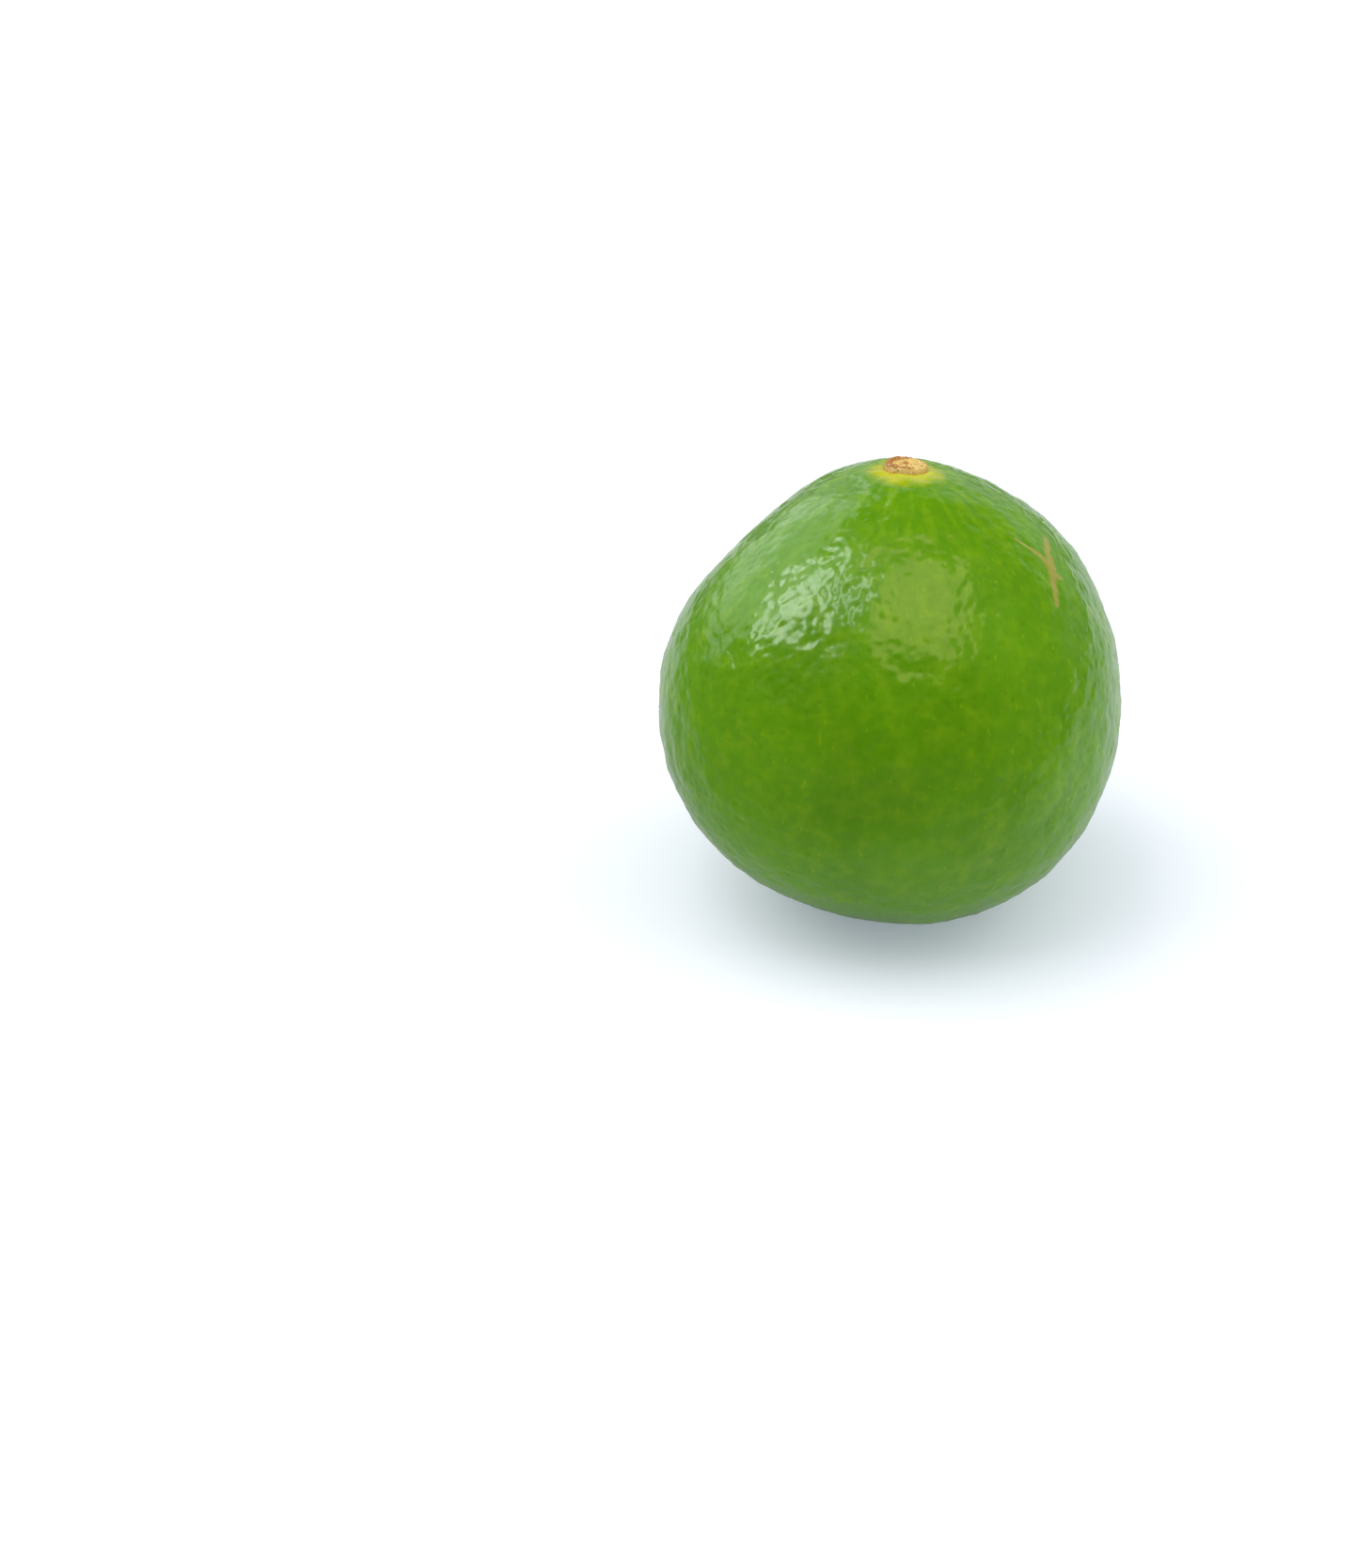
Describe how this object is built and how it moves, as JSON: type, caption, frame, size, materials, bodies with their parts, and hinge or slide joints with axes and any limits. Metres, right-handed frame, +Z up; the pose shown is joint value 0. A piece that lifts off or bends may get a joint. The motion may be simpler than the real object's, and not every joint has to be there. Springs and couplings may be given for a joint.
{
  "type": "lime",
  "caption": "Whole round green lime with a waxy, finely pitted rind and a dry stem button, resting on a small flat spot with its stem end up.",
  "frame": {"origin": "middle of the small flat spot that the fruit rests on", "axes": "+Z up, out of the resting spot and through the fruit to its stem end; the stem end leans 12 degrees towards +Y and 4 degrees towards +X; -Y is the side seen from the front"},
  "size_m": [0.0482, 0.0476, 0.0481],
  "materials": {
    "rind": "satin, waxy, finely pitted",
    "dry_stem": "matt, dry and corky"
  },
  "bodies": {
    "root": {"fruit": "rind", "stem_button": "dry_stem"}
  },
  "joints": []
}
